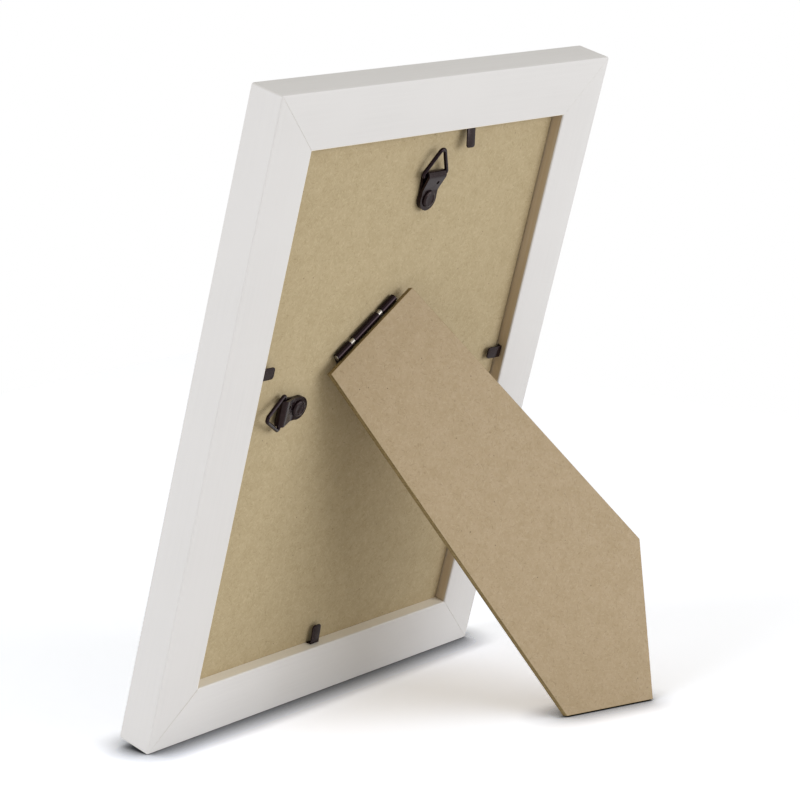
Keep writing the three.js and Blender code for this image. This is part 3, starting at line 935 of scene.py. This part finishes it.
@dataclass(frozen=True)
class BendingTab:
    """A tab of sheet steel that comes out of a rail and folds over the board.

    It is drawn as its rail is. The root turns up along the wall of the rebate, and the blade turns
    about the fold at the top of it.
    """

    rails: Rails
    side: Side
    width: float = 4.7
    thickness: float = 0.5
    length: float = 7.6
    tip_radius: float = 1.2
    sunk: float = 0.6           # how far the root reaches into the wall
    touch: float = 0.02         # gap between the root and the blade
    bend_radius: float = 0.45   # middle of the sheet where the root turns up
    corner: float = 0.08
    steps: int = 8
    dome_end: float = 84.0      # degrees round the dome at which it ends flat
    tip_share: float = 0.7      # what is left of the thickness at the very tip

    def build(self, steel: Material) -> None:
        """Builds, dresses and places the root and the blade.

        Args:
            steel: Their finish.
        """
        word = self.side.word
        along = self.rails.place(self.side)
        fold = Place(joint_point(f"{word}_tab_bend"), along.axes)
        wall = self.rails.rail_width - along.drawn(fold.origin)[1]
        fit(self.root(fold, wall), f"{word}_tab_root", "frame", steel)
        fit(self.blade(fold), f"{word}_tab_blade", f"{word}_tab", steel)

    def root(self, fold: Place, wall: float) -> Piece:
        """Makes the root: out of the wall, round a bend and up to the fold, with a domed end.

        On the dome the strip's middle and half thickness follow the sine and cosine of a turn, so
        that the blade has room to swing over it.

        Args:
            fold: The drawing whose x is the fold.
            wall: Where the rebate's wall lies in it, on y.

        Returns:
            The root.
        """
        half = self.thickness / 2
        top = -half - self.touch
        low, _ = span(fold, f"{self.side.word}_tab_root")
        foot = low[2] + half
        start = wall - self.sunk
        r = self.bend_radius
        dome = np.radians(np.linspace(0, self.dome_end, self.steps + 1))
        path = np.concatenate((
            np.array(((start, foot), (start / 2 - r / 2, foot))),
            arc((-r, foot + r), r, -90, 0, self.steps),
            np.column_stack((np.zeros_like(dome), top - half + half * np.sin(dome))),
        ))
        thick = np.concatenate((np.full(len(path) - len(dome), half), half * np.cos(dome)))
        wide = np.full(len(path), self.width / 2)
        return strip_piece(f"{self.side.word}_tab_strip", path, wide, thick, self.corner, fold)

    def blade(self, fold: Place) -> Piece:
        """Makes the blade: a round bead on the fold, and a flat tongue with a rounded tip.

        Along the bead, y and the half thickness are the half thickness times minus the cosine and the
        sine of a turn. Round the tip, y and the half width grow and shrink by the tip's radius times the
        sine and the cosine of a turn.

        Args:
            fold: The drawing whose x is the fold.

        Returns:
            The blade.
        """
        half = self.thickness / 2
        r = self.tip_radius
        tip = np.radians(np.linspace(0, 90, self.steps + 1))
        bead = tip[1:]
        y = np.concatenate((-half * np.cos(bead), self.length - r + r * np.sin(tip)))
        narrow = self.width / 2 - r + r * np.cos(tip)
        wide = np.concatenate((np.full(len(bead), self.width / 2), narrow))
        flat = np.full(len(bead), half)
        thick = np.concatenate((half * np.sin(bead), flat, (half * self.tip_share,)))
        path = np.column_stack((y, np.zeros_like(y)))
        lying = fold.turned(Axis.X, tilt(fold, f"{self.side.word}_tab_blade", half))
        return strip_piece(f"{self.side.word}_tab_tongue", path, wide, thick, self.corner, lying)


class HangerSite(Named):
    """The two hangers, by the quarter turns from pointing up."""

    TOP = 0
    SIDE = 1


@dataclass(frozen=True)
class Hanger:
    """A folded plate that holds a triangle of wire, on one rivet.

    It is drawn with its rivet at the origin, the ring towards y and z out of the board.
    """

    back: Place
    site: HangerSite
    edge: float = 0.14          # radius of the plate's edges
    wire: float = 0.75          # radius
    half_base: float = 7.5
    height: float = 12.0
    base_corner: float = 1.0
    apex_corner: float = 1.6
    arc_steps: int = 10
    wire_sides: int = 20
    shank: float = 1.5          # radius of the rivet
    head: float = 3.2
    head_height: float = 0.6
    head_edge: float = 0.1      # upright edge of the head, below its bowed flange
    head_cut: float = 0.05      # bevel under the head
    dish: float = 1.75
    dish_depth: float = 0.28
    dish_point: float = 0.06    # how much deeper the dish is in its middle
    rim_arc: Pair = (100.0, 150.0)      # degrees round the rim of the dish
    dish_arc: Pair = (-30.0, -90.0)     # degrees round the edge of its floor
    rim_steps: int = 4
    rivet_sides: int = 64
    tail_lip: float = 1.0
    tail_height: float = 0.5
    tail_cut: float = 0.15      # bevel of the tail

    def build(self, steel: Material, lacquer: Material) -> None:
        """Builds, dresses and places the plate, its rivet and its ring.

        Args:
            steel: The finish of the plate and the rivet.
            lacquer: The deeper finish of the wire.
        """
        word = self.site.word
        plate = softened(f"{word}_hanger_sheet", f"{word}_hanger_plate", self.edge)
        fit(plate, f"{word}_hanger_plate", f"{word}_hanger", steel)
        pivot = Place(joint_point(f"{word}_hanger_swivel"), self.back.axes)
        profile = self.rivet_profile(pivot)
        rivet = turned_piece(f"{word}_hanger_dished_rivet", profile, pivot, self.rivet_sides)
        fit(rivet, f"{word}_hanger_rivet", "frame", steel)
        fit(self.ring(), f"{word}_hanger_ring", f"{word}_ring", lacquer)

    def rivet_profile(self, pivot: Place) -> np.ndarray:
        """Draws the rivet: an upset tail, a shank and a wide head with a dish in its middle.

        The head's flange is an arc that is level at the rim of the dish and falls by the drop over the
        run, so its radius is the sum of their squares over twice the drop.

        Args:
            pivot: The drawing whose z is the rivet's axis.

        Returns:
            The points (radius, height).
        """
        low, high = span(pivot, f"{self.site.word}_hanger_rivet")
        foot, top = low[2], high[2]
        under = top - self.head_height
        rim = self.dish + 2 * self.dish_depth
        drop = self.head_height - self.head_edge
        bow = ((self.head - rim) ** 2 + drop ** 2) / (2 * drop)
        fall = math.degrees(math.asin((bow - drop) / bow))
        lip = self.shank + self.tail_lip
        ledge = foot + self.tail_height
        return np.concatenate((
            np.array(((0.0, foot), (lip - self.tail_cut, foot), (lip, foot + self.tail_cut), (lip, ledge),
                      (self.shank, ledge), (self.shank, under), (self.head - self.head_cut, under),
                      (self.head, under + self.head_cut))),
            arc((rim, top - bow), bow, fall, 90, self.arc_steps),
            arc((rim, top - self.dish_depth), self.dish_depth, *self.rim_arc, self.rim_steps),
            arc((self.dish, top), self.dish_depth, *self.dish_arc, self.rim_steps),
            np.array(((0.0, top - self.dish_depth - self.dish_point),)),
        ))

    def ring(self) -> Piece:
        """Makes the ring: round wire along a triangle with round corners, its base on the fold.

        Each point is the path's point plus the wire's radius times the cosine of a turn along the
        path's normal and the sine of it along z.

        Returns:
            The ring.
        """
        word = self.site.word
        fold = Place(joint_point(f"{word}_ring_swing"), self.back.axes).turned(Axis.Z, 90 * self.site.value)
        place = fold.turned(Axis.X, tilt(fold, f"{word}_hanger_ring", self.wire))
        slope = math.degrees(math.atan2(self.height, self.half_base))
        cut = self.base_corner / math.tan(math.radians(slope / 2))
        apex_y = self.height - self.apex_corner / math.cos(math.radians(slope))
        out = self.half_base - cut
        path = np.concatenate((
            arc((out, self.base_corner), self.base_corner, -90, 90 - slope, self.arc_steps),
            arc((0.0, apex_y), self.apex_corner, 90 - slope, 90 + slope, self.arc_steps),
            arc((-out, self.base_corner), self.base_corner, 90 + slope, 270, self.arc_steps),
        ))
        normal = side_normals(path)
        turn = np.linspace(0, 2 * math.pi, self.wire_sides, endpoint=False)
        across = self.wire * np.cos(turn)
        x = path[:, :1] + normal[:, :1] * across
        y = path[:, 1:] + normal[:, 1:] * across
        z = self.wire * np.sin(turn) + np.zeros_like(x)
        return skin(f"{word}_hanger_wire", np.stack((x, y, z), axis=-1), place, looped=True)


@dataclass(frozen=True)
class Strut:
    """The hardboard leg: a flat sheet with sawn edges and slightly broken arrises.

    It is drawn with x along the hinge's pin and z out of its outer face.
    """

    place: Place
    arris: float = 0.22
    arris_steps: int = 3

    def outline(self) -> tuple[np.ndarray, float, float]:
        """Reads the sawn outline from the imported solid.

        Returns:
            The corners anticlockwise, the height of the inner face and that of the outer face.
        """
        points = self.place.drawn(node_points("strut"))
        low, high = points[:, 2].min(), points[:, 2].max()
        top = points[points[:, 2] > high - READ_DEPTH, :2]
        corners = np.unique(np.round(top, READ_DIGITS), axis=0)
        spoke = corners - corners.mean(0)
        return corners[np.argsort(np.arctan2(spoke[:, 1], spoke[:, 0]))], low, high

    def build(self) -> None:
        """Builds, dresses and places the strut.

        Each row of the skin is the outline moved inwards: a corner moves by the inset times the sum
        of its two edges' inward normals over one plus their product. The faces that don't lie flat
        get the sawn finish.
        """
        corners, low, high = self.outline()
        edge = np.roll(corners, -1, axis=0) - corners
        edge /= np.linalg.norm(edge, axis=1, keepdims=True)
        after = np.column_stack((-edge[:, 1], edge[:, 0]))
        before = np.roll(after, 1, axis=0)
        inwards = (before + after) / (1 + (before * after).sum(1, keepdims=True))
        turn = np.radians(np.linspace(0, 90, self.arris_steps + 1))
        inset = self.arris * (1 - np.sin(turn))
        rise = self.arris * (1 - np.cos(turn))
        insets = np.concatenate((inset, inset[::-1]))
        heights = np.concatenate((low + rise, high - rise[::-1]))
        flat = corners + insets[:, None, None] * inwards
        z = np.broadcast_to(heights[:, None, None], (*flat.shape[:2], 1))
        strut = skin("strut_leg", np.concatenate((flat, z), axis=-1), self.place)
        face = Hardboard("hardboard_strut", self.place, tan="#AD997B", brown="#A49070", pale="#B7A587",
                         dark="#8C7859")
        fit(strut, "strut", "strut", face.material())
        strut.data.materials.append(SawnEdge("sawn_edge_strut", self.place).material())
        normals = np.empty(len(strut.data.polygons) * 3, np.float32)
        strut.data.polygons.foreach_get("normal", normals)
        sawn = np.abs(normals.reshape(-1, 3) @ self.place.axes[:, 2]) <= math.cos(math.radians(CREASE))
        strut.data.polygons.foreach_set("material_index", sawn.astype(np.int32))


@dataclass(frozen=True)
class Hinge:
    """Two stamped leaves rolled round a bare steel pin, riveted to the board and pronged to the strut.

    It is drawn with x along the pin and z out of the board.
    """

    place: Place
    back: Place
    edge: float = 0.09
    pin_radius: float = 1.05
    pin_round: float = 0.2
    round_steps: int = 4
    pin_sides: int = 32
    rivet_head: float = 1.9
    rivet_shank: float = 1.0
    rivet_cut: float = 0.05     # bevel of the head
    tail_lip: float = 1.0
    tail_height: float = 0.5
    rivet_sides: int = 40

    def build(self, steel: Material) -> None:
        """Builds, dresses and places the leaves, the pin and the two small rivets.

        Args:
            steel: The finish of all but the pin.
        """
        for body, node in (("frame", "hinge_board_leaf"), ("strut", "hinge_strut_leaf")):
            leaf = softened(node.replace("leaf", "rolled_leaf"), node, self.edge)
            fit(leaf, node, body, steel)
        self.pin()
        for end in ("lower", "upper"):
            self.rivet(end, steel)

    def pin(self) -> None:
        """Makes the pin, turned about its length with rounded ends."""
        low, high = span(self.place, "hinge_pin")
        half = (high[0] - low[0]) / 2
        r = self.pin_round
        side = self.pin_radius - r
        profile = np.concatenate((
            np.array(((0.0, -half),)),
            arc((side, r - half), r, -90, 0, self.round_steps),
            arc((side, half - r), r, 0, 90, self.round_steps),
            np.array(((0.0, half),)),
        ))
        lying = self.place.moved((low[0] + high[0]) / 2).turned(Axis.Y, 90)
        pin = turned_piece("hinge_steel_pin", profile, lying, self.pin_sides)
        steel = DrawnSteel("drawn_steel_pin", self.place).material()
        fit(pin, "hinge_pin", "frame", steel)

    def rivet(self, end: str, steel: Material) -> None:
        """Makes one countersunk rivet, from its upset tail to its flat head.

        Args:
            end: The rivet's word, lower or upper.
            steel: Its finish.
        """
        node = f"hinge_rivet_{end}"
        low, high = span(self.back, node)
        at = self.back.moved((low[0] + high[0]) / 2, (low[1] + high[1]) / 2)
        foot, top = low[2], high[2]
        neck = top - (self.rivet_head - self.rivet_shank) / 2
        lip = self.rivet_shank + self.tail_lip
        ledge = foot + self.tail_height
        profile = np.array((
            (0.0, foot), (lip, foot), (lip, ledge), (self.rivet_shank, ledge), (self.rivet_shank, neck),
            (self.rivet_head, top - self.rivet_cut), (self.rivet_head - self.rivet_cut, top), (0.0, top),
        ))
        rivet = turned_piece(f"hinge_flush_rivet_{end}", profile, at, self.rivet_sides)
        fit(rivet, node, "frame", steel)


@dataclass(frozen=True)
class Stack:
    """What lies in the rebate: glass, a plain sheet and the hardboard back, with nails in the mitres."""

    back: Place
    sill: float                 # height of the lower rail's rebate wall
    seat: float = 0.05          # what is left between it and the board
    edge: float = 0.18          # radius of the board's edges

    def build(self) -> None:
        """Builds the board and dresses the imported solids, whose shapes are right as they are."""
        self.board()
        redress("insert_sheet", PlainPaper().material())
        redress("glass_pane", FloatGlass().material())
        nail = DrawnSteel("rolled_steel_nail", self.back, bright="#A6A6A6", tarnish="#77777A").material()
        for side in Side:
            redress(f"{side.word}_corner_nail", nail)

    def board(self) -> None:
        """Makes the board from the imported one, with its lower edge down on the rail that it rests on."""
        points = self.back.drawn(node_points("backing_board"))
        lowest = points[:, 1] < points[:, 1].min() + self.edge
        points[lowest, 1] = self.sill + self.seat
        board = softened("hardboard_back", "backing_board", self.edge, self.back.metres(points))
        finish = Hardboard("hardboard_back", self.back).material()
        fit(board, "backing_board", "frame", finish)


@dataclass(frozen=True)
class Lamp:
    """A soft box that faces the object from where a camera at its angles would stand."""

    name: str
    azimuth: float
    elevation: float
    distance: float             # metres
    width: float                # metres
    height: float               # metres
    watts: float
    tint: Triple

    def build(self, aim: Vector) -> None:
        """Hangs the lamp.

        Args:
            aim: The point that it faces, in metres.
        """
        data = bpy.data.lights.new(self.name, "AREA")
        data.shape = "RECTANGLE"
        data.size = self.width
        data.size_y = self.height
        data.energy = self.watts
        data.color = self.tint
        lamp = added(self.name, data)
        lamp.matrix_world = seen_from(aim, self.azimuth, self.elevation, self.distance)


def seen_from(aim: Vector, azimuth: float, elevation: float, distance: float, roll: float = 0.0) -> Matrix:
    """Works out where a camera or a lamp stands.

    It looks along +Y at azimuth 0 and along -X at azimuth 90, from above by the elevation.

    Args:
        aim: The point that it looks at, in metres.
        azimuth: Degrees round the object.
        elevation: Degrees above the horizontal.
        distance: Metres from the aim.
        roll: Degrees that its right hand side is raised.

    Returns:
        Its matrix.
    """
    turn = Matrix.Rotation(math.radians(azimuth), 4, "Z")
    turn @= Matrix.Rotation(math.radians(90 - elevation), 4, "X")
    turn @= Matrix.Rotation(math.radians(roll), 4, "Z")
    return Matrix.Translation(aim) @ turn @ Matrix.Translation((0.0, 0.0, distance))


@dataclass(frozen=True)
class Studio:
    """A white sweep, two soft boxes, a faintly warm fill and the photograph's camera."""

    aim: Vector = Vector((0.002432, -0.004249, 0.123412))
    azimuth: float = 128.4026
    elevation: float = 12.1360
    distance: float = 1.05225   # metres
    roll: float = 0.359
    focal_pixels: float = 2819.8
    image_pixels: float = 800.0
    sensor: float = 36.0
    clip_end: float = 100.0     # metres
    floor_size: float = 1.1     # metres
    floor_drop: float = 0.00002     # metres below what stands on it
    contact: float = 0.015      # metres over which a contact shadow fades out
    contact_power: float = 2.2
    contact_samples: int = 8
    world_level: float = 0.485
    world_tint: Triple = (1.04, 1.0, 0.9)
    floor_colour: str = "#F6F6F6"
    floor_shown: Triple = (1.56, 1.61, 1.73)    # its colour as the camera meets it

    def lamps(self) -> tuple[Lamp, ...]:
        """Lists the soft boxes."""
        return (
            Lamp("key", azimuth=203.0, elevation=9.0, distance=2.6, width=2.3, height=1.4, watts=42.3,
                 tint=(0.975, 1.0, 1.08)),
            Lamp("side", azimuth=78.0, elevation=14.0, distance=1.35, width=1.0, height=1.0, watts=8.9,
                 tint=(0.97, 1.0, 1.09)),
        )

    def build(self) -> None:
        """Builds the floor, the world, the lamps and the camera."""
        self.floor()
        self.world()
        for lamp in self.lamps():
            lamp.build(self.aim)
        data = bpy.data.cameras.new("camera")
        data.sensor_width = self.sensor
        data.lens = self.sensor * self.focal_pixels / self.image_pixels
        data.clip_end = self.clip_end
        camera = added("camera", data)
        camera.matrix_world = seen_from(self.aim, self.azimuth, self.elevation, self.distance, self.roll)
        bpy.context.scene.camera = camera
        bpy.context.scene.view_settings.view_transform = "Standard"
        log.info("studio is set")

    def floor(self) -> None:
        """Lays the floor, which looks brighter to the camera but keeps the object's shadow.

        Close to what stands on it the floor is darkened further, as the photograph's is, by the share
        of the nearby half space that is open.
        """
        half = self.floor_size / 2
        points = np.array(((-half, -half), (half, -half), (half, half), (-half, half)))
        points = np.column_stack((points, np.full(4, -self.floor_drop)))
        mesh = bpy.data.meshes.new("floor")
        mesh.from_pydata(points.tolist(), [], [(0, 1, 2, 3)])
        floor = added("floor", mesh)
        material = bpy.data.materials.new("white_sweep")
        material.use_nodes = True
        tree = material.node_tree
        tree.nodes.clear()
        plain = add_node(tree, "BsdfDiffuse", {"Color": self.floor_colour})
        near = add_node(tree, "AmbientOcclusion", {"Distance": self.contact}, "AO",
                        samples=self.contact_samples)
        open_share = add_node(tree, "Math", (near, self.contact_power), operation="POWER")
        tones = {0: open_share, 6: "#000000", 7: (*self.floor_shown, 1.0)}
        contact = add_node(tree, "Mix", tones, 2, data_type="RGBA")
        shown = add_node(tree, "BsdfDiffuse", {"Color": contact})
        add_node(tree, "OutputMaterial", {"Surface": shown_directly(tree, shown, plain)})
        mesh.materials.append(material)

    def world(self) -> None:
        """Sets a white world that lights the object at a plain level and shows as pure white."""
        world = bpy.data.worlds.new("studio")
        world.use_nodes = True
        tree = world.node_tree
        tree.nodes.clear()
        light = add_node(tree, "Background",
                         {"Color": (*self.world_tint, 1.0), "Strength": self.world_level})
        white = add_node(tree, "Background", {"Color": "#FFFFFF", "Strength": 1.0})
        add_node(tree, "OutputWorld", {"Surface": shown_directly(tree, white, light)})
        bpy.context.scene.world = world


def shown_directly(tree: Tree, shown: Shader, plain: Shader) -> Shader:
    """Mixes two shaders by where a ray comes from.

    Args:
        tree: The nodes of the material or the world.
        shown: What meets a ray straight from the camera, off a mirror or through glass.
        plain: What meets every other ray.

    Returns:
        The mixture.
    """
    seen = add_node(tree, "LightPath", output="Is Camera Ray")
    path = seen.node.outputs
    for other in ("Is Glossy Ray", "Is Transmission Ray"):
        seen = add_node(tree, "Math", (seen, path[other]), operation="MAXIMUM")
    return add_node(tree, "MixShader", (seen, plain, shown))


def main() -> None:
    """Builds the whole object and its studio, and reports each piece."""
    logging.basicConfig(level=logging.INFO, format="%(name)s: %(message)s")
    back = back_of_frame()
    low, high = span(back, "left_rail")
    _, edge = span(back, "right_rail")
    _, top = span(back, "top_rail")
    steel = BlackedSteel().material()
    lacquer = BlackedSteel("lacquered_steel", black="#0D0508", worn="#1A1013", cast="#FFD8E0",
                           rough=(0.07, 0.12)).material()
    rails = Rails(back, width=edge[0] - low[0], height=top[1], depth=high[2] - low[2])
    rails.build()
    for side in Side:
        BendingTab(rails, side).build(steel)
    Stack(back, sill=rails.rail_width).build()
    for site in HangerSite:
        Hanger(back, site).build(steel, lacquer)
    slant = back.axes.T @ np.array(joint("strut_fold")["axis"])
    angle = math.degrees(math.atan2(slant[1], slant[0]))
    hinge = Place(joint_point("strut_fold"), back.axes).turned(Axis.Z, angle)
    Hinge(hinge, back).build(lacquer)
    Strut(hinge.turned(Axis.X, -OPEN_ANGLE)).build()
    Studio().build()


if __name__ == "__main__":
    main()
